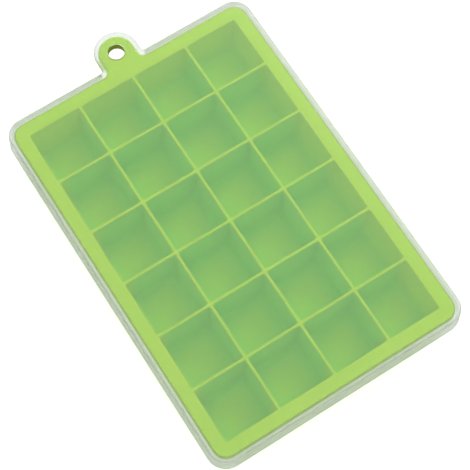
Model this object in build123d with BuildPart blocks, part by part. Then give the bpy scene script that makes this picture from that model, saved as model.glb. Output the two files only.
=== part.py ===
import os
from math import atan2, degrees

from build123d import *

os.makedirs("parts", exist_ok=True)

# A soft one-piece ice cube tray and the clear lid that drops over its rim.
# Millimetres. X runs across the tray, Y along it towards the hanging tab, Z up.
# The cups stand on Z = 0, and the origin lies under the middle of the whole outline.

# Cells: square mouths, drafted walls, rounded floors
columns = 4
rows = 6
inner_cell = 25.1  # mouth of a cell between two dividers
outer_cell = 24.2  # mouth of a cell that has the rim on one side
divider = 1.4  # crest of the wall between two cells
cell_depth = 19.5
cell_lean = 1.3  # how far a wall leans in from mouth to floor
floor_round = 2.5
mouth_round_share = 0.35  # of a divider's crest, on each side of it

# Cups: the outside of the cells, apart from each other below the web that joins them
cup_wall = 1.6
cup_floor = 1.5
foot_round = 2.2
corner_gain = 0.3  # a cup's upright corners are this much rounder than its foot

# Rim: the flat border round the cells
rim_border = 6.5
rim_thickness = 4.0
rim_corner = 6.2
rim_round = 0.8

# Hanging tab, a flat tongue on one short side of the rim
tab_radius = 8.0
tab_reach = 7.4  # rim edge to the centre of the tab's round end
tab_root = 3.0  # inside corner between the tab and the rim
hole_radius = 3.7
hole_reach = 7.6  # rim edge to the centre of the hole

# Lid: a flat plate that rests on the rim, with a skirt that flares slightly
lid_plate = 1.2
lid_wall = 1.3
lid_gap = 0.9  # rim to skirt, under the plate
lid_skirt = 7.6  # below the plate
lid_flare = 0.5  # how far the skirt leans out below the plate
lid_round = 0.9

# Tongue: the lid's plate over the tab, where the skirt is notched to let the tab through
tongue_overhang = 1.9  # beyond the tab, all round
tongue_root = 1.2  # inside corner between the tongue and the plate's edge
notch_round = 2.0

cut_overrun = 1.0

# Heights
rim_top = cup_floor + cell_depth
rim_base = rim_top - rim_thickness
lid_top = rim_top + lid_plate

# Drafts
cell_draft = degrees(atan2(cell_lean, cell_depth))
cup_lean = cell_lean * rim_top / cell_depth
lid_draft = degrees(atan2(lid_flare, lid_skirt))
plate_flare = lid_flare * lid_plate / lid_skirt

# Plan sizes
foot_margin = cup_wall - cup_lean
lid_margin = lid_gap + lid_wall - plate_flare
skirt_margin = lid_gap + lid_wall + lid_flare
notch_half = tab_radius + tongue_overhang
middle_y = -(tab_reach + notch_half - skirt_margin) / 2


def cell_spans(count):
    """Centre and width of each cell mouth in a line, from the low end to the high end."""
    widths = [outer_cell] + [inner_cell] * (count - 2) + [outer_cell]
    low = -(sum(widths) + divider * (count - 1)) / 2
    spans = []
    for width in widths:
        spans.append((low + width / 2, width))
        low += width + divider
    return spans


column_spans = cell_spans(columns)
row_spans = cell_spans(rows)
cells_width = 2 * (column_spans[-1][0] + column_spans[-1][1] / 2)
cells_length = 2 * (row_spans[-1][0] + row_spans[-1][1] / 2)
rim_width = cells_width + 2 * rim_border
rim_length = cells_length + 2 * rim_border
rim_end = rim_length / 2


def level(height):
    """A plane at this height, centred on the cells."""
    return Plane((0, middle_y, height))


def draw_rim(margin):
    """The rim in plan without its tab, this much larger all round."""
    RectangleRounded(rim_width + 2 * margin, rim_length + 2 * margin, rim_corner + margin)


def draw_outline(rim_margin, tab_margin, root):
    """The rim and its tab in plan, each larger by its margin, with rounded corners between them."""
    tab_centre = rim_end + tab_reach
    tab_half = tab_radius + tab_margin
    draw_rim(rim_margin)
    with Locations((0, tab_centre)):
        Circle(tab_half)
    with Locations((0, tab_centre / 2)):
        Rectangle(2 * tab_half, tab_centre)
    tab_roots = vertices().group_by(Axis.Y)[-2].sort_by(Axis.X)[1:-1]
    fillet(tab_roots, radius=root)


# The space inside the cells, which the tray is cut with
with BuildPart() as cells:
    with Locations(level(rim_top)):
        for x, width in column_spans:
            for y, length in row_spans:
                with Locations((x, y)):
                    Wedge(
                        width,
                        cell_depth,
                        length,
                        cell_lean,
                        cell_lean,
                        width - cell_lean,
                        length - cell_lean,
                        rotation=(-90, 0, 0),
                        align=(Align.CENTER, Align.MIN, Align.CENTER),
                    )
    fillet(edges().group_by(Axis.Z)[0], radius=floor_round)

# The tray: the rim with its tab, and a cup round each cell
with BuildPart() as tray:
    with BuildSketch(level(rim_base)):
        draw_outline(0, 0, tab_root)
    extrude(amount=rim_thickness)
    fillet(faces().filter_by(Axis.Z).edges(), radius=rim_round)
    with BuildSketch(level(0)):
        for x, width in column_spans:
            for y, length in row_spans:
                with Locations((x, y)):
                    foot_width = width + 2 * foot_margin
                    foot_length = length + 2 * foot_margin
                    RectangleRounded(foot_width, foot_length, foot_round + corner_gain)
    extrude(amount=rim_top, taper=-cell_draft)
    fillet(faces().group_by(Axis.Z)[0].edges(), radius=foot_round)
    add(cells.part, mode=Mode.SUBTRACT)
    mouths = faces().sort_by(Axis.Z)[-1].inner_wires()
    fillet([e for mouth in mouths for e in mouth.edges()], radius=mouth_round_share * divider)
    with Locations(level(rim_top)):
        with Locations((0, rim_end + hole_reach)):
            Hole(radius=hole_radius, depth=rim_thickness + cut_overrun)
tray.part.label = "tray"
export_step(tray.part, "parts/tray.step")

# The lid: a plate with its tongue, and a skirt round the rim with a notch under the tongue
with BuildPart() as lid:
    with BuildSketch(level(lid_top)):
        draw_outline(lid_margin, tongue_overhang - plate_flare, tongue_root)
    extrude(amount=-lid_plate, taper=-lid_draft)
    with BuildSketch(level(lid_top)):
        draw_rim(lid_margin)
    extrude(amount=-(lid_plate + lid_skirt), taper=-lid_draft)
    fillet(faces().sort_by(Axis.Z)[-1].edges(), radius=lid_round)
    with BuildSketch(level(rim_top)):
        draw_rim(lid_gap)
    extrude(amount=-(lid_skirt + cut_overrun), taper=-lid_draft, mode=Mode.SUBTRACT)
    with BuildSketch(level(rim_top)):
        with Locations((0, rim_end)):
            Rectangle(2 * notch_half, 2 * (skirt_margin + cut_overrun))
    extrude(amount=-(lid_skirt + cut_overrun), mode=Mode.SUBTRACT)
    notch_reach = notch_half + notch_round
    cross_edges = edges().filter_by(Axis.Y).filter_by_position(Axis.X, -notch_reach, notch_reach)
    fillet(cross_edges.group_by(Axis.Z)[0], radius=notch_round)
    with Locations(level(lid_top)):
        with Locations((0, rim_end + hole_reach)):
            Hole(radius=hole_radius, depth=lid_plate + cut_overrun)
lid.part.label = "lid"
export_step(lid.part, "parts/lid.step")
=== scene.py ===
import math

import bmesh
import bpy
from mathutils import Matrix, Vector


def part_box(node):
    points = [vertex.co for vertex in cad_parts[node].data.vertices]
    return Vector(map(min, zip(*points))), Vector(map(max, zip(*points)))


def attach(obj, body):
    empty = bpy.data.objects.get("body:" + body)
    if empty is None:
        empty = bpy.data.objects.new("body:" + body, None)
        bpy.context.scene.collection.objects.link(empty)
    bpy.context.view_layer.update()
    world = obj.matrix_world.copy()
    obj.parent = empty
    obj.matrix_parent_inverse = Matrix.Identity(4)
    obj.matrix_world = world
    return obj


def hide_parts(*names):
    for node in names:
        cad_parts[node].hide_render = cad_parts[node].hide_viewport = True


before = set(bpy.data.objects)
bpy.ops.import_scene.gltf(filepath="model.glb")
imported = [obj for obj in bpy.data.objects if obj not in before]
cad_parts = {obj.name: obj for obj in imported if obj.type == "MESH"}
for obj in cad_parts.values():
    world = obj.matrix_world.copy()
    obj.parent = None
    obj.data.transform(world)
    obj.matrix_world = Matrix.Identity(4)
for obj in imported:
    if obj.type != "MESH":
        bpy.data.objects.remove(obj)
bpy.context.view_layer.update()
scene = bpy.context.scene
mm = 0.001
print("frame loaded:", sorted(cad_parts))


# The pieces are modelled in millimetres and brought to metres at the end

weldDistance = 0.01


def nodeBox(name):
    low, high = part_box(name)
    return low / mm, high / mm


trayLow, trayHigh = nodeBox("tray")
lidLow, lidHigh = nodeBox("lid")
holeFromTip = 7.8  # tip of the hanging tab to the centre of its hole
holeX, holeY = 0.0, trayHigh.y - holeFromTip


# Outlines and rings

def arcAt(before, corner, after, radius, steps):
    toBefore = (before - corner).normalized()
    toAfter = (after - corner).normalized()
    half = toBefore.angle(toAfter) / 2
    centre = corner + (toBefore + toAfter).normalized() * (radius / math.sin(half))
    first = corner + toBefore * (radius / math.tan(half)) - centre
    last = corner + toAfter * (radius / math.tan(half)) - centre
    return [centre + first.slerp(last, step / steps) * radius for step in range(steps + 1)]


def roundLoop(corners, radii, steps):
    points = [Vector(corner) for corner in corners]
    arcs = []
    for k, radius in enumerate(radii):
        after = points[(k + 1) % len(points)]
        if radius > 0:
            arcs.append(arcAt(points[k - 1], points[k], after, radius, steps))
        else:
            arcs.append([points[k]] * (steps + 1))
    return arcs


def roundPath(corners, radii, steps):  # an open path, whose two ends stay as they are
    points = [Vector(corner) for corner in corners]
    path = [points[0]]
    for k, radius in enumerate(radii, 1):
        path += arcAt(points[k - 1], points[k], points[k + 1], radius, steps)
    return path + [points[-1]]


def addRing(shape, outline, z):
    return [shape.verts.new((p[0], p[1], z)) for p in outline]


def joinRings(shape, rings, closed=True):
    for upper, lower in zip(rings, rings[1:]):
        count = len(upper)
        for k in range(count if closed else count - 1):
            n = (k + 1) % count
            shape.faces.new((upper[k], upper[n], lower[n], lower[k]))


def ringEdges(shape, ring):
    edges = []
    for pair in zip(ring, ring[1:] + ring[:1]):
        edges.append(shape.edges.get(pair) or shape.edges.new(pair))
    return edges


def fillFlat(shape, edges):
    bmesh.ops.triangle_fill(shape, use_beauty=True, edges=edges, normal=(0, 0, 1))


def tidyMesh(shape, name, sharpAngle):
    bmesh.ops.remove_doubles(shape, verts=shape.verts, dist=weldDistance)
    bmesh.ops.recalc_face_normals(shape, faces=shape.faces)
    mesh = bpy.data.meshes.new(name)
    shape.to_mesh(mesh)
    shape.free()
    mesh.transform(Matrix.Scale(mm, 4))
    mesh.shade_smooth()
    mesh.set_sharp_from_angle(angle=math.radians(sharpAngle))
    return mesh


def makePiece(mesh, body, node, material):
    piece = bpy.data.objects.new(mesh.name, mesh)
    scene.collection.objects.link(piece)
    mesh.materials.append(material)
    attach(piece, body)
    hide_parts(node)
    return piece


# Shader groups and materials, whose lengths are in metres

def addNode(tree, kind, place, **settings):
    node = tree.nodes.new(kind)
    node.location = place
    for key, value in settings.items():
        setattr(node, key, value)
    return node


finishLook = {
    "grainDetail": 3.0,
    "mottleDetail": 4.0,
    "mottleRoughness": 0.6,
    "grainShare": 0.35,  # of the grain, added to the mottle
    "smoothestAt": 0.45,  # sum of the two
    "roughestAt": 0.9,
}


def mouldedFinishGroup(look):
    tree = bpy.data.node_groups.new("mouldedFinish", "ShaderNodeTree")
    face = tree.interface
    for label in ("Grain Scale", "Mottle Scale", "Smoothest", "Roughest"):
        face.new_socket(label, in_out="INPUT", socket_type="NodeSocketFloat")
    for label in ("Roughness", "Height", "Mottle"):
        face.new_socket(label, in_out="OUTPUT", socket_type="NodeSocketFloat")
    given = addNode(tree, "NodeGroupInput", (-900, 0))
    out = addNode(tree, "NodeGroupOutput", (500, 0))
    where = addNode(tree, "ShaderNodeTexCoord", (-900, 300))
    grain = addNode(tree, "ShaderNodeTexNoise", (-600, 200))
    grain.inputs["Detail"].default_value = look["grainDetail"]
    mottle = addNode(tree, "ShaderNodeTexNoise", (-600, -100))
    mottle.inputs["Detail"].default_value = look["mottleDetail"]
    mottle.inputs["Roughness"].default_value = look["mottleRoughness"]
    blend = addNode(tree, "ShaderNodeMath", (-200, 50), operation="MULTIPLY_ADD")
    blend.inputs[1].default_value = look["grainShare"]
    spread = addNode(tree, "ShaderNodeMapRange", (100, 0))
    spread.inputs["From Min"].default_value = look["smoothestAt"]
    spread.inputs["From Max"].default_value = look["roughestAt"]
    link = tree.links.new
    link(where.outputs["Object"], grain.inputs["Vector"])
    link(where.outputs["Object"], mottle.inputs["Vector"])
    link(given.outputs["Grain Scale"], grain.inputs["Scale"])
    link(given.outputs["Mottle Scale"], mottle.inputs["Scale"])
    link(grain.outputs["Fac"], blend.inputs[0])
    link(mottle.outputs["Fac"], blend.inputs[2])
    link(blend.outputs[0], spread.inputs["Value"])
    link(given.outputs["Smoothest"], spread.inputs["To Min"])
    link(given.outputs["Roughest"], spread.inputs["To Max"])
    link(spread.outputs[0], out.inputs["Roughness"])
    link(grain.outputs["Fac"], out.inputs["Height"])
    link(mottle.outputs["Fac"], out.inputs["Mottle"])
    return tree


def startMaterial(name, look):
    material = bpy.data.materials.new(name)
    material.use_nodes = True
    tree = material.node_tree
    skin = tree.nodes["Principled BSDF"]
    finish = addNode(tree, "ShaderNodeGroup", (-700, 0), node_tree=mouldedFinish)
    finish.inputs["Grain Scale"].default_value = look["grainScale"]
    finish.inputs["Mottle Scale"].default_value = look["mottleScale"]
    finish.inputs["Smoothest"].default_value = look["smoothest"]
    finish.inputs["Roughest"].default_value = look["roughest"]
    bump = addNode(tree, "ShaderNodeBump", (-300, -300))
    bump.inputs["Strength"].default_value = look["bump"]
    bump.inputs["Distance"].default_value = look["bumpDepth"]
    tree.links.new(finish.outputs["Height"], bump.inputs["Height"])
    tree.links.new(bump.outputs["Normal"], skin.inputs["Normal"])
    tree.links.new(finish.outputs["Roughness"], skin.inputs["Roughness"])
    skin.inputs["IOR"].default_value = look["bend"]
    return material, tree, skin, finish


siliconeLook = {
    "pale": (0.60, 0.985, 0.01, 1.0),
    "deep": (0.54, 0.98, 0.007, 1.0),
    "smoothest": 0.38,
    "roughest": 0.55,
    "grainScale": 1400.0,
    "mottleScale": 60.0,
    "bump": 0.06,
    "bumpDepth": 0.0002,
    "throughWeight": 0.4,  # share of light that passes through the skin
    "throughRadius": (1.1, 1.0, 0.12),  # how far red, green and blue get, in scales
    "throughScale": 0.0022,
    "bend": 1.41,
    "gloss": 0.14,
    "wall": (0.42, 0.98, 0.05, 1.0),  # painted shade: cooler on the walls between two cells
    "outerWallLight": (0.66, 0.995, 0.002, 1.0),  # painted light: warmer where light comes through from outside
    "rimEdgeShade": (0.37, 0.66, 0.005, 1.0),  # painted shade on the rim's rounded edge, in the corner under the lid
    "shade": (0.34, 0.40, 0.002, 1.0),  # of the hanging hole's wall
    "shadeFrom": 0.00375,  # from the hole's axis, where that shade starts to fade
    "shadeTo": 0.0042,  # and where it has gone
}


def siliconeMaterial(look):
    material, tree, skin, finish = startMaterial("greenSilicone", look)
    tint = addNode(tree, "ShaderNodeMix", (-300, 200), data_type="RGBA")
    tint.inputs["A"].default_value = look["deep"]
    tint.inputs["B"].default_value = look["pale"]
    tree.links.new(finish.outputs["Mottle"], tint.inputs["Factor"])
    # painted shade on the walls between the cells and on the rim's edge, and painted light on the outer
    # walls, as marked on the mesh
    walled = tint
    for k, part in enumerate(("wall", "outerWallLight", "rimEdgeShade")):
        mark = addNode(tree, "ShaderNodeAttribute", (-300 + 200 * k, 600), attribute_name=part)
        mixed = addNode(tree, "ShaderNodeMix", (-100 + 200 * k, 400), data_type="RGBA")
        mixed.inputs["B"].default_value = look[part]
        tree.links.new(mark.outputs["Fac"], mixed.inputs["Factor"])
        tree.links.new(walled.outputs["Result"], mixed.inputs["A"])
        walled = mixed
    # little light gets into the hanging hole
    where = addNode(tree, "ShaderNodeTexCoord", (-1100, 900))
    centred = addNode(tree, "ShaderNodeMapping", (-900, 900))
    centred.inputs["Location"].default_value = (-holeX * mm, -holeY * mm, 0.0)
    centred.inputs["Scale"].default_value = (1.0, 1.0, 0.0)
    away = addNode(tree, "ShaderNodeVectorMath", (-700, 900), operation="LENGTH")
    inHole = addNode(tree, "ShaderNodeMapRange", (-500, 900), interpolation_type="SMOOTHSTEP")
    inHole.inputs["From Min"].default_value = look["shadeTo"]
    inHole.inputs["From Max"].default_value = look["shadeFrom"]
    shaded = addNode(tree, "ShaderNodeMix", (300, 500), data_type="RGBA")
    shaded.inputs["B"].default_value = look["shade"]
    tree.links.new(where.outputs["Object"], centred.inputs["Vector"])
    tree.links.new(centred.outputs["Vector"], away.inputs[0])
    tree.links.new(away.outputs["Value"], inHole.inputs["Value"])
    tree.links.new(inHole.outputs[0], shaded.inputs["Factor"])
    tree.links.new(walled.outputs["Result"], shaded.inputs["A"])
    tree.links.new(shaded.outputs["Result"], skin.inputs["Base Color"])
    skin.inputs["Subsurface Weight"].default_value = look["throughWeight"]
    skin.inputs["Subsurface Radius"].default_value = look["throughRadius"]
    skin.inputs["Subsurface Scale"].default_value = look["throughScale"]
    skin.inputs["Specular IOR Level"].default_value = look["gloss"]
    return material


lidLook = {
    "tint": (0.97, 0.965, 1.0, 1.0),
    "smoothest": 0.16,
    "roughest": 0.24,
    "skirtRough": 0.38,  # of the skirt and the plate's edge
    "sideShade": (0.82, 0.84, 0.81, 1.0),  # painted shade on the skirt and the plate's rounding
    "grainScale": 700.0,
    "mottleScale": 30.0,
    "bump": 0.01,
    "bumpDepth": 0.00005,
    "clear": 0.935,  # the rest is a faint milky haze
    "bend": 1.49,
}


def lidMaterial(look):
    material, tree, skin, finish = startMaterial("clearLidPlastic", look)
    # the skirt and the plate's edge are less polished than the plate
    skirt = addNode(tree, "ShaderNodeAttribute", (-700, 300), attribute_name="lidEdge")
    dull = addNode(tree, "ShaderNodeMix", (-300, 100))
    dull.inputs["B"].default_value = look["skirtRough"]
    tree.links.new(skirt.outputs["Fac"], dull.inputs["Factor"])
    tree.links.new(finish.outputs["Roughness"], dull.inputs["A"])
    tree.links.new(dull.outputs["Result"], skin.inputs["Roughness"])
    # and painted shade: a little darker, as clear plastic looks seen edge on
    side = addNode(tree, "ShaderNodeAttribute", (-700, 600), attribute_name="lidSideShade")
    tint = addNode(tree, "ShaderNodeMix", (-300, 400), data_type="RGBA")
    tint.inputs["A"].default_value = look["tint"]
    tint.inputs["B"].default_value = look["sideShade"]
    tree.links.new(side.outputs["Fac"], tint.inputs["Factor"])
    tree.links.new(tint.outputs["Result"], skin.inputs["Base Color"])
    skin.inputs["Transmission Weight"].default_value = look["clear"]
    # lamps shine straight through the clear plastic
    path = addNode(tree, "ShaderNodeLightPath", (300, 300))
    passing = addNode(tree, "ShaderNodeBsdfTransparent", (300, -200))
    pick = addNode(tree, "ShaderNodeMixShader", (600, 0))
    tree.links.new(path.outputs["Is Shadow Ray"], pick.inputs[0])
    tree.links.new(skin.outputs[0], pick.inputs[1])
    tree.links.new(passing.outputs[0], pick.inputs[2])
    tree.links.new(pick.outputs[0], tree.nodes["Material Output"].inputs["Surface"])
    return material


mouldedFinish = mouldedFinishGroup(finishLook)
greenSilicone = siliconeMaterial(siliconeLook)
clearLidPlastic = lidMaterial(lidLook)
print("materials made")


# Tray: one tile holds a cell and the cup round it, and the grid repeats it

cell = {
    "columns": 4,
    "rows": 6,
    "pitch": 26.5,
    "crest": 1.25,  # divider between two mouths
    "crestRound": 0.55,
    "wallLean": 1.3,  # of a wall, from mouth to floor
    "floor": 1.5,  # thickness under a cell
    "floorRound": 2.6,
    "flatFrom": 0.6,  # of half a pitch, from the tile's edge to the flat middle of a floor or foot
    "mouthCorner": 0.9,
    "floorCorner": 2.4,
    "cupMeet": 7.5,  # height at which two cups grow together
    "cupGap": 1.0,  # between two feet
    "footRound": 2.2,
    "cupCorner": 2.9,
    "wallFade": 5.5,  # from a wall into the floor, over which the wall's painted shade fades
    "outerTrim": 0.9,  # a cell beside the rim is this much narrower
    "outerFrom": 2.2,  # from the rim inwards, where the painted light of an outer wall starts to fade
    "outerTo": 4.6,  # and where it has gone
    "sideSteps": 10,
    "cornerSteps": 4,
    "roundSteps": 5,
    "weld": 0.005,  # distance under which the points of two tiles become one
    "sway": 0.5,  # a soft divider strays by at most half of this
    "swaySize": 0.045,  # waves per millimetre
    "swayDetail": 1.0,
    "swaySeed": 3.0,
}


def squareRing(half, radius, z, shape):
    corners = [(-half, -half), (half, -half), (half, half), (-half, half)]
    arcs = roundLoop(corners, [radius] * 4, cell["cornerSteps"])
    outline = []
    for k, arc in enumerate(arcs):
        following = arcs[(k + 1) % 4][0]
        outline += arc
        for step in range(1, cell["sideSteps"]):
            outline.append(arc[-1].lerp(following, step / cell["sideSteps"]))
    return addRing(shape, outline, z)


def buildTile():
    shape = bmesh.new()
    # a mark for painted shade on the cell walls, fading out into the floor
    wall = shape.verts.layers.float.new("wall")
    half = cell["pitch"] / 2
    top = trayHigh.z
    crest = cell["crest"] / 2
    lean = crest + cell["wallLean"]
    flat = half * cell["flatFrom"]
    inside = roundPath(
        [(0, top), (crest, top), (lean, cell["floor"]), (flat, cell["floor"])],
        [cell["crestRound"], cell["floorRound"]],
        cell["roundSteps"],
    )
    rings = []
    for inset, z in inside:
        share = min(inset / crest, 1.0)
        depth = min(max((inset - crest) / cell["wallLean"], 0.0), 1.0)
        corner = share * (cell["mouthCorner"] + depth * (cell["floorCorner"] - cell["mouthCorner"]))
        rings.append(squareRing(half - inset, corner, z, shape))
        faded = min(max((inset - lean) / cell["wallFade"], 0.0), 1.0)
        for vert in rings[-1]:
            vert[wall] = 1 - faded if inset > crest else 0.0
    joinRings(shape, rings)
    shape.faces.new(rings[-1])
    outside = roundPath(
        [(0, cell["cupMeet"]), (cell["cupGap"] / 2, 0), (flat, 0)],
        [cell["footRound"]],
        cell["roundSteps"],
    )
    rings = [squareRing(half - inset, cell["cupCorner"], z, shape) for inset, z in outside]
    joinRings(shape, rings)
    shape.faces.new(rings[-1])
    mesh = bpy.data.meshes.new("cellTile")
    shape.to_mesh(mesh)
    shape.free()
    return mesh


def cellGridTree():
    tree = bpy.data.node_groups.new("cellGrid", "GeometryNodeTree")
    face = tree.interface
    face.new_socket("Tile", in_out="INPUT", socket_type="NodeSocketGeometry")
    for label, kind in (
        ("Columns", "NodeSocketInt"),
        ("Rows", "NodeSocketInt"),
        ("Pitch", "NodeSocketFloat"),
        ("Trim Start", "NodeSocketVector"),
        ("Trim Scale", "NodeSocketFloat"),
        ("Crest Height", "NodeSocketFloat"),
        ("Sway From", "NodeSocketFloat"),
        ("Sway", "NodeSocketFloat"),
        ("Sway Size", "NodeSocketFloat"),
        ("Sway Seed", "NodeSocketFloat"),
    ):
        face.new_socket(label, in_out="INPUT", socket_type=kind)
    face.new_socket("Cells", in_out="OUTPUT", socket_type="NodeSocketGeometry")
    given = addNode(tree, "NodeGroupInput", (-1400, 0))
    out = addNode(tree, "NodeGroupOutput", (1400, 0))
    link = tree.links.new

    def math2(operation, a, b, place):
        node = addNode(tree, "ShaderNodeMath", place, operation=operation)
        for k, value in enumerate((a, b)):
            if isinstance(value, (int, float)):
                node.inputs[k].default_value = value
            else:
                link(value, node.inputs[k])
        return node.outputs[0]

    def vector2(operation, a, b, place):
        node = addNode(tree, "ShaderNodeVectorMath", place, operation=operation)
        for k, value in enumerate((a, b)):
            if value is None:
                continue
            if isinstance(value, tuple):
                node.inputs[k].default_value = value
            else:
                link(value, node.inputs[k])
        return node.outputs[0]

    # one tile on each point of a grid
    grid = addNode(tree, "GeometryNodeMeshGrid", (-900, 200))
    columns, rows, pitch = (given.outputs[name] for name in ("Columns", "Rows", "Pitch"))
    spanX = math2("MULTIPLY", math2("SUBTRACT", columns, 1, (-1200, 300)), pitch, (-1050, 300))
    spanY = math2("MULTIPLY", math2("SUBTRACT", rows, 1, (-1200, 150)), pitch, (-1050, 150))
    link(spanX, grid.inputs["Size X"])
    link(spanY, grid.inputs["Size Y"])
    link(columns, grid.inputs["Vertices X"])
    link(rows, grid.inputs["Vertices Y"])
    tiles = addNode(tree, "GeometryNodeInstanceOnPoints", (-600, 100))
    link(grid.outputs["Mesh"], tiles.inputs["Points"])
    link(given.outputs["Tile"], tiles.inputs["Instance"])
    real = addNode(tree, "GeometryNodeRealizeInstances", (-400, 100))
    link(tiles.outputs[0], real.inputs[0])
    weld = addNode(tree, "GeometryNodeMergeByDistance", (-200, 100))
    link(real.outputs[0], weld.inputs[0])
    weld.inputs["Distance"].default_value = cell["weld"]

    # cells beside the rim are drawn in
    place = addNode(tree, "GeometryNodeInputPosition", (-900, -250)).outputs[0]
    size = vector2("ABSOLUTE", place, None, (-700, -250))
    kept = vector2("MINIMUM", size, given.outputs["Trim Start"], (-500, -200))
    beyond = vector2("SUBTRACT", size, kept, (-300, -250))
    drawn = addNode(tree, "ShaderNodeVectorMath", (-100, -250), operation="SCALE")
    link(beyond, drawn.inputs[0])
    link(given.outputs["Trim Scale"], drawn.inputs["Scale"])
    side = vector2("SIGN", place, None, (-500, -400))
    moved = vector2("MULTIPLY", vector2("ADD", kept, drawn.outputs[0], (100, -250)), side, (250, -250))
    trim = addNode(tree, "GeometryNodeSetPosition", (400, 100))
    link(weld.outputs[0], trim.inputs["Geometry"])
    link(moved, trim.inputs["Position"])

    # soft dividers stray a little sideways, most at the crest
    spot = addNode(tree, "GeometryNodeInputPosition", (0, -600)).outputs[0]
    noise = addNode(tree, "ShaderNodeTexNoise", (200, -600), noise_dimensions="4D")
    noise.inputs["Detail"].default_value = cell["swayDetail"]
    link(spot, noise.inputs["Vector"])
    link(given.outputs["Sway Seed"], noise.inputs["W"])
    link(given.outputs["Sway Size"], noise.inputs["Scale"])
    noiseMiddle, sideways = (0.5, 0.5, 0.5), (1.0, 1.0, 0.0)
    centred = vector2("SUBTRACT", noise.outputs["Color"], noiseMiddle, (400, -600))
    level = addNode(tree, "ShaderNodeSeparateXYZ", (200, -850))
    link(spot, level.inputs[0])
    rise = addNode(tree, "ShaderNodeMapRange", (400, -850), interpolation_type="SMOOTHSTEP")
    link(level.outputs["Z"], rise.inputs["Value"])
    link(given.outputs["Sway From"], rise.inputs["From Min"])
    link(given.outputs["Crest Height"], rise.inputs["From Max"])
    flat = vector2("MULTIPLY", centred, sideways, (600, -600))
    stray = addNode(tree, "ShaderNodeVectorMath", (800, -600), operation="SCALE")
    link(flat, stray.inputs[0])
    link(math2("MULTIPLY", rise.outputs[0], given.outputs["Sway"], (600, -850)), stray.inputs["Scale"])
    sway = addNode(tree, "GeometryNodeSetPosition", (900, 100))
    link(trim.outputs[0], sway.inputs["Geometry"])
    link(stray.outputs[0], sway.inputs["Offset"])
    link(sway.outputs[0], out.inputs[0])
    return tree


def buildCellGrid():
    tile = bpy.data.objects.new("cellTile", buildTile())
    scene.collection.objects.link(tile)
    tree = cellGridTree()
    crest, pitch = cell["crest"], cell["pitch"]
    mouth = pitch - crest
    startX = (cell["columns"] / 2 - 1) * pitch + crest / 2
    startY = (cell["rows"] / 2 - 1) * pitch + crest / 2
    values = {
        "Columns": cell["columns"],
        "Rows": cell["rows"],
        "Pitch": pitch,
        "Trim Start": (startX, startY, trayHigh.z),
        "Trim Scale": (mouth - cell["outerTrim"]) / mouth,
        "Crest Height": trayHigh.z,
        "Sway From": cell["cupMeet"],
        "Sway": cell["sway"],
        "Sway Size": cell["swaySize"],
        "Sway Seed": cell["swaySeed"],
    }
    modifier = tile.modifiers.new("cellGrid", "NODES")
    modifier.node_group = tree
    for item in tree.interface.items_tree:
        if item.in_out == "INPUT" and item.name in values:
            modifier[item.identifier] = values[item.name]
    graph = bpy.context.evaluated_depsgraph_get()
    mesh = bpy.data.meshes.new_from_object(tile.evaluated_get(graph))
    bpy.data.objects.remove(tile)
    return mesh


# Rim, hanging tab and the outer walls round the grid of cups

rim = {
    "thickness": 4.0,
    "corner": 6.2,
    "edgeRound": 0.9,
    "tabHalf": 8.0,
    "tabRoot": 3.0,
    "holeRadius": 3.7,
    "holeRound": 0.5,
    "flatStrip": 0.4,  # keeps the shading flat beside a rounded edge
    "arcSteps": 10,
    "roundSteps": 5,
    "holeSteps": 40,
    "wallLean": 0.63,  # of a cup's outer wall, from where cups meet to the rim
    "wallMiddle": 0.5,  # share of that lean halfway up
    "wallRoot": ((0.95, 0.6), (1.1, 0.15), (1.5, 0.0)),  # shares of it, and how far below the rim
    "pitTop": 17.0,  # roof of the small pits where four cups meet
    "sharpAngle": 50,
}

rimX = trayHigh.x
rimY = rimX + (cell["rows"] - cell["columns"]) * cell["pitch"] / 2
middle = Vector((0.0, trayLow.y + rimY, trayHigh.z))  # middle of the cells, on the rim's plane
tabTip = trayHigh.y - middle.y
holeAt = Vector((holeX, holeY - middle.y))


def tabOutline(halfX, halfY, corner, tabHalf, tip, root, steps):
    corners = [
        (-halfX, -halfY), (halfX, -halfY), (halfX, halfY), (tabHalf, halfY),
        (tabHalf, tip), (-tabHalf, tip), (-tabHalf, halfY), (-halfX, halfY),
    ]
    radii = [corner, corner, corner, root, tabHalf, tabHalf, root, corner]
    arcs = roundLoop(corners, radii, steps)
    arcs[5] = arcs[5][1:]  # the tab's two quarter arcs share a point
    return [point for arc in arcs for point in arc]


def rimOutline(inset):
    return tabOutline(
        rimX - inset, rimY - inset, rim["corner"] - inset, rim["tabHalf"] - inset,
        tabTip - inset, rim["tabRoot"] + inset, rim["arcSteps"],
    )


def holeCircle(radius, steps):
    turn = 2 * math.pi / steps
    return [holeAt + radius * Vector((math.cos(k * turn), math.sin(k * turn))) for k in range(steps)]


def boundaryLoops(shape):
    unused = dict.fromkeys(edge for edge in shape.edges if edge.is_boundary)  # in a fixed order
    loops = []
    while unused:
        edge = next(iter(unused))
        del unused[edge]
        loop = [edge.verts[0], edge.verts[1]]
        while True:
            following = next((e for e in loop[-1].link_edges if e in unused), None)
            if following is None:
                break
            del unused[following]
            loop.append(following.other_vert(loop[-1]))
        loops.append(loop[:-1] if loop[-1] == loop[0] else loop)
    return loops


def leanOut(vert, reachX, reachY):  # the lean of the outer walls at this point of their outline
    corner = cell["cupCorner"]
    a = abs(vert.co.x) - (reachX - corner)
    b = abs(vert.co.y) - (reachY - corner)
    way = Vector((max(a, 0.0), max(b, 0.0)))
    if a > 0 and b > 0:
        way.normalize()
    else:
        way = Vector((1.0, 0.0)) if a > 0 else Vector((0.0, 1.0))
    way *= rim["wallLean"]
    return Vector((math.copysign(way.x, vert.co.x), math.copysign(way.y, vert.co.y)))


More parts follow.
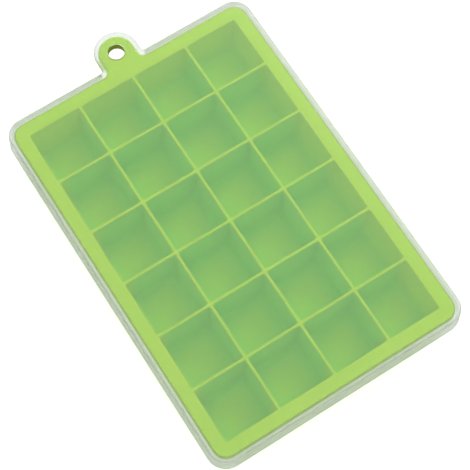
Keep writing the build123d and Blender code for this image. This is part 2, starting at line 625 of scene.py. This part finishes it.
def buildTray():
    shape = bmesh.new()
    shape.from_mesh(buildCellGrid())
    bmesh.ops.remove_doubles(shape, verts=shape.verts, dist=weldDistance)
    top, under = trayHigh.z, trayHigh.z - rim["thickness"]

    # marks for painted light on the walls with no cell behind them, and further down for painted shade
    # on the rim's edge
    wall = shape.verts.layers.float["wall"]
    outerWallLight = shape.verts.layers.float.new("outerWallLight")
    rimEdgeShade = shape.verts.layers.float.new("rimEdgeShade")
    endX = max(v.co.x for v in shape.verts)
    endY = max(v.co.y for v in shape.verts)
    for vert in shape.verts:
        inward = min(endX - abs(vert.co.x), endY - abs(vert.co.y))
        near = 1 - (inward - cell["outerFrom"]) / (cell["outerTo"] - cell["outerFrom"])
        vert[outerWallLight] = vert[wall] * min(max(near, 0.0), 1.0)

    outer, holes = {}, []
    for loop in boundaryLoops(shape):
        wide = max(v.co.x for v in loop) - min(v.co.x for v in loop) > cell["pitch"]
        if wide:
            outer["top" if loop[0].co.z > under else "bottom"] = loop
        else:
            holes.append(loop)
    print("cells:", len(shape.faces), "faces,", len(holes), "pits between cups")

    for loop in holes:
        roof = addRing(shape, [v.co for v in loop], rim["pitTop"])
        joinRings(shape, [loop, roof])
        shape.faces.new(roof)

    # the outer cups' walls, up to the rim
    loop = outer["bottom"]
    reachX = max(v.co.x for v in loop)
    reachY = max(v.co.y for v in loop)
    walls = [loop]
    halfway = (rim["wallMiddle"], (under - cell["cupMeet"]) / 2)
    for share, below in (halfway, *rim["wallRoot"]):
        ring = []
        for vert in loop:
            out = leanOut(vert, reachX, reachY) * share
            ring.append(shape.verts.new((vert.co.x + out.x, vert.co.y + out.y, under - below)))
        walls.append(ring)
    joinRings(shape, walls)

    # the rim's edge from top to underside
    edge = rim["edgeRound"]
    strip = rim["flatStrip"]
    section = roundPath(
        [(edge + strip, top), (0, top), (0, under), (edge + strip, under)],
        [edge, edge],
        rim["roundSteps"],
    )
    border = [addRing(shape, rimOutline(inset), z) for inset, z in section]
    joinRings(shape, border)
    upperRound = border[2:2 + rim["roundSteps"]]  # after the flat strip's two rings
    # painted shade on the rim's upper rounded edge, left off the tab
    for ring in upperRound:
        for vert in ring:
            vert[rimEdgeShade] = 1.0 if vert.co.y <= rimY else 0.0

    # the hanging hole
    soft = rim["holeRound"]
    section = roundPath(
        [(soft + strip, top), (0, top), (0, under), (soft + strip, under)],
        [soft, soft],
        rim["roundSteps"],
    )
    bore = []
    for grow, z in section:
        bore.append(addRing(shape, holeCircle(rim["holeRadius"] + grow, rim["holeSteps"]), z))
    joinRings(shape, bore)

    for inner, k in ((outer["top"], 0), (walls[-1], -1)):
        edges = ringEdges(shape, inner) + ringEdges(shape, border[k]) + ringEdges(shape, bore[k])
        fillFlat(shape, edges)
    bmesh.ops.translate(shape, verts=shape.verts, vec=(0.0, middle.y, 0.0))
    return tidyMesh(shape, "siliconeTray", rim["sharpAngle"])


tray = makePiece(buildTray(), "tray", "tray", greenSilicone)
print("tray made:", len(tray.data.polygons), "faces")


# Lid: a plate with a tongue over the tab, and a skirt round the rest

lid = {
    "plate": 1.2,
    "seatGap": 0.15,  # air left between the plate and the rim
    "wall": 1.3,
    "edgeRound": 0.9,
    "flare": 0.5,  # of the skirt, from the plate's underside down
    "lipRound": 0.2,
    "insideRound": 0.2,
    "corner": 8.2,
    "tongueHalf": 9.9,
    "tongueRoot": 1.2,
    "dullBand": 2.4,  # width of the less polished edge on top of the plate
    "notchRound": 2.0,
    "notchSteps": 5,
    "holeRound": 0.3,
    "flatStrip": 0.5,
    "arcSteps": 12,
    "roundSteps": 5,
    "holeSteps": 40,
    "sharpAngle": 40,
}
lidX = lidHigh.x - lid["flare"]
lidY = middle.y - lidLow.y - lid["flare"]
tongueTip = lidHigh.y - middle.y

# an outline is eight arcs, three of them before the tongue and four round it, two of which share a point
perArc = lid["arcSteps"] + 1
tongueFirst = 3 * perArc
tongueLast = 7 * perArc - 2

# where the skirt stops beside the tongue: distance from its end, and how far its lip is raised there
notchTurns = [math.pi / 2 * step / lid["notchSteps"] for step in range(lid["notchSteps"] + 1)]
notchAway = [lid["notchRound"] * (1 - math.cos(turn)) for turn in notchTurns]
notchLift = [lid["notchRound"] * (1 - math.sin(turn)) for turn in notchTurns]


def lidOutline(inset):
    outline = tabOutline(
        lidX - inset, lidY - inset, lid["corner"] - inset, lid["tongueHalf"] - inset,
        tongueTip - inset, lid["tongueRoot"] + inset, lid["arcSteps"],
    )
    ends = [(lid["tongueHalf"] + lid["tongueRoot"] + away, lidY - inset) for away in notchAway[1:]]
    right = [Vector(end) for end in reversed(ends)]
    left = [Vector((-x, y)) for x, y in ends]
    tongue = outline[tongueFirst:tongueLast + 1]
    return outline[:tongueFirst] + right + tongue + left + outline[tongueLast + 1:]


def buildLid():
    shape = bmesh.new()
    lidEdge = shape.verts.layers.float.new("lidEdge")
    lidSideShade = shape.verts.layers.float.new("lidSideShade")
    top, lip = lidHigh.z, lidLow.z
    under = top - lid["plate"] + lid["seatGap"]
    strip, wall = lid["flatStrip"], lid["wall"]

    # top of the plate, its rounded edge and the edge's own side
    edge = lid["edgeRound"]
    section = roundPath([(lid["dullBand"], top), (0, top), (0, under)], [edge], lid["roundSteps"])
    section.insert(0, Vector((lid["dullBand"] + strip, top)))
    plate = [addRing(shape, lidOutline(inset), z) for inset, z in section]
    joinRings(shape, plate)

    # the skirt leaves out the tongue and runs from its last point round to its first,
    # and the notch's points on the right come before both
    first, last = tongueLast + lid["notchSteps"], tongueFirst + lid["notchSteps"]
    count = len(plate[0])
    along = [k % count for k in range(first, count + last + 1)]
    lifts = notchLift + [0.0] * (len(along) - 2 * len(notchLift)) + notchLift[::-1]
    flare = lid["flare"]
    inside = lid["insideRound"]
    section = roundPath(
        [(0, under), (-flare, lip), (wall - flare, lip), (wall, under), (wall + inside + strip, under)],
        [lid["lipRound"], lid["lipRound"], inside],
        lid["roundSteps"],
    )
    skirt = [[plate[-1][k] for k in along]]
    for inset, z in section[1:]:
        outline = lidOutline(inset)
        raised = (under - z) / (under - lip)
        points = [(*outline[k], z + lift * raised) for k, lift in zip(along, lifts)]
        skirt.append([shape.verts.new(point) for point in points])
    joinRings(shape, skirt, closed=False)
    for end in (0, -1):
        shape.faces.new([ring[end] for ring in skirt])

    # the hole over the tray's hole
    soft = lid["holeRound"]
    section = roundPath(
        [(soft + strip, top), (0, top), (0, under), (soft + strip, under)],
        [soft, soft],
        lid["roundSteps"],
    )
    bore = []
    for grow, z in section:
        bore.append(addRing(shape, holeCircle(rim["holeRadius"] + grow, lid["holeSteps"]), z))
    joinRings(shape, bore)

    fillFlat(shape, ringEdges(shape, plate[0]) + ringEdges(shape, bore[0]))
    tongue = [plate[-1][k % count] for k in range(last, first + 1)]
    belowLoop = skirt[-1] + tongue
    fillFlat(shape, ringEdges(shape, belowLoop) + ringEdges(shape, bore[-1]))
    # the plate's rings start with its flat strip, the dull band and the first ring of the rounded edge
    bandOn, roundOn = plate[1:], plate[3:]
    # the dull finish goes on the band, the painted shade on the rounding, and both on the skirt
    for mark, rings in ((lidEdge, bandOn), (lidSideShade, roundOn)):
        for ring in rings + skirt[1:-1]:
            for vert in ring:
                vert[mark] = 1.0
    bmesh.ops.translate(shape, verts=shape.verts, vec=(0.0, middle.y, 0.0))
    return tidyMesh(shape, "clearLid", lid["sharpAngle"])


clearLid = makePiece(buildLid(), "lid", "lid", clearLidPlastic)
print("lid made:", len(clearLid.data.polygons), "faces")


# Studio: pale floor, soft light and the camera, in metres but for the camera's places

studio = {
    "floorSize": 6.0,
    "floorColour": (0.92, 0.92, 0.92, 1.0),
    "floorRough": 0.9,
    "floorGloss": 0.1,
    "floorDrop": 0.0001,  # below the feet
    "floorLift": 0.22,  # light that the floor gives off all round
    "floorGlow": 0.55,  # what it adds straight towards the camera
    "floorThrough": 0.3,  # and what it adds through the lid
    "skyColour": (0.97, 0.985, 1.0, 1.0),
    "skyStrength": 0.67,
    "horizonStrength": 0.1,
    "skyRise": 0.95,  # sine of the height at which the sky is brightest
    "shineStrength": 0.65,  # of the bright surroundings that shiny surfaces see
    "keyPlace": (0.6, 0.4, 0.75),
    "keySize": 0.45,
    "keyPower": 1.45,
    "eye": (-115.5, -184.9, 587.1),  # from the middle of the cells, in millimetres
    "aim": (-1.8, -6.5, 0.0),  # likewise
    "lens": 115.3,
    "sensor": 36.0,
}


def pointAt(thing, place, aim):
    thing.location = place
    thing.rotation_euler = (Vector(aim) - Vector(place)).to_track_quat("-Z", "Y").to_euler()


def makeFloor():
    shape = bmesh.new()
    bmesh.ops.create_grid(shape, x_segments=2, y_segments=2, size=studio["floorSize"] / 2)
    bmesh.ops.translate(shape, verts=shape.verts, vec=(0.0, 0.0, -studio["floorDrop"]))
    mesh = bpy.data.meshes.new("floor")
    shape.to_mesh(mesh)
    shape.free()
    floor = bpy.data.objects.new("floor", mesh)
    scene.collection.objects.link(floor)
    paint = bpy.data.materials.new("floorPaint")
    paint.use_nodes = True
    tree = paint.node_tree
    skin = tree.nodes["Principled BSDF"]
    skin.inputs["Base Color"].default_value = studio["floorColour"]
    skin.inputs["Roughness"].default_value = studio["floorRough"]
    skin.inputs["Specular IOR Level"].default_value = studio["floorGloss"]
    skin.inputs["Emission Color"].default_value = studio["floorColour"]
    # the floor looks brightly lit, through the lid too, but sends little of that light up into the tray
    path = addNode(tree, "ShaderNodeLightPath", (-900, -300))
    through = addNode(tree, "ShaderNodeMath", (-600, -300), operation="MULTIPLY_ADD")
    through.inputs[1].default_value = studio["floorThrough"]
    through.inputs[2].default_value = studio["floorLift"]
    glow = addNode(tree, "ShaderNodeMath", (-300, -300), operation="MULTIPLY_ADD")
    glow.inputs[1].default_value = studio["floorGlow"]
    tree.links.new(path.outputs["Is Transmission Ray"], through.inputs[0])
    tree.links.new(path.outputs["Is Camera Ray"], glow.inputs[0])
    tree.links.new(through.outputs[0], glow.inputs[2])
    tree.links.new(glow.outputs[0], skin.inputs["Emission Strength"])
    # from below it can be looked through
    side = addNode(tree, "ShaderNodeNewGeometry", (0, 300))
    clear = addNode(tree, "ShaderNodeBsdfTransparent", (0, -300))
    pick = addNode(tree, "ShaderNodeMixShader", (300, 100))
    tree.links.new(side.outputs["Backfacing"], pick.inputs[0])
    tree.links.new(skin.outputs[0], pick.inputs[1])
    tree.links.new(clear.outputs[0], pick.inputs[2])
    tree.links.new(pick.outputs[0], tree.nodes["Material Output"].inputs["Surface"])
    mesh.materials.append(paint)


def makeLight():
    sky = bpy.data.worlds.new("sky")
    sky.use_nodes = True
    tree = sky.node_tree
    glow = tree.nodes["Background"]
    glow.inputs["Color"].default_value = studio["skyColour"]
    # brightest overhead, dimmer towards the horizon
    way = addNode(tree, "ShaderNodeTexCoord", (-800, 0))
    height = addNode(tree, "ShaderNodeSeparateXYZ", (-600, 0))
    fade = addNode(tree, "ShaderNodeMapRange", (-300, 0), interpolation_type="SMOOTHSTEP")
    fade.inputs["From Max"].default_value = studio["skyRise"]
    fade.inputs["To Min"].default_value = studio["horizonStrength"]
    fade.inputs["To Max"].default_value = studio["skyStrength"]
    tree.links.new(way.outputs["Generated"], height.inputs[0])
    tree.links.new(height.outputs["Z"], fade.inputs["Value"])
    path = addNode(tree, "ShaderNodeLightPath", (-600, -300))
    shine = addNode(tree, "ShaderNodeMath", (-300, -300), operation="MULTIPLY")
    shine.inputs[1].default_value = studio["shineStrength"]
    brighter = addNode(tree, "ShaderNodeMath", (-100, -100), operation="MAXIMUM")
    tree.links.new(path.outputs["Is Glossy Ray"], shine.inputs[0])
    tree.links.new(fade.outputs[0], brighter.inputs[0])
    tree.links.new(shine.outputs[0], brighter.inputs[1])
    tree.links.new(brighter.outputs[0], glow.inputs["Strength"])
    scene.world = sky
    lamp = bpy.data.lights.new("keyLight", "AREA")
    lamp.size = studio["keySize"]
    lamp.energy = studio["keyPower"]
    key = bpy.data.objects.new("keyLight", lamp)
    scene.collection.objects.link(key)
    pointAt(key, studio["keyPlace"], (0.0, 0.0, 0.0))


def makeCamera():
    lens = bpy.data.cameras.new("camera")
    lens.lens = studio["lens"]
    lens.sensor_width = studio["sensor"]
    camera = bpy.data.objects.new("camera", lens)
    scene.collection.objects.link(camera)
    eye = (middle + Vector(studio["eye"])) * mm
    pointAt(camera, eye, (middle + Vector(studio["aim"])) * mm)
    scene.camera = camera


makeFloor()
makeLight()
makeCamera()
scene.view_settings.view_transform = "Standard"
print("studio ready")
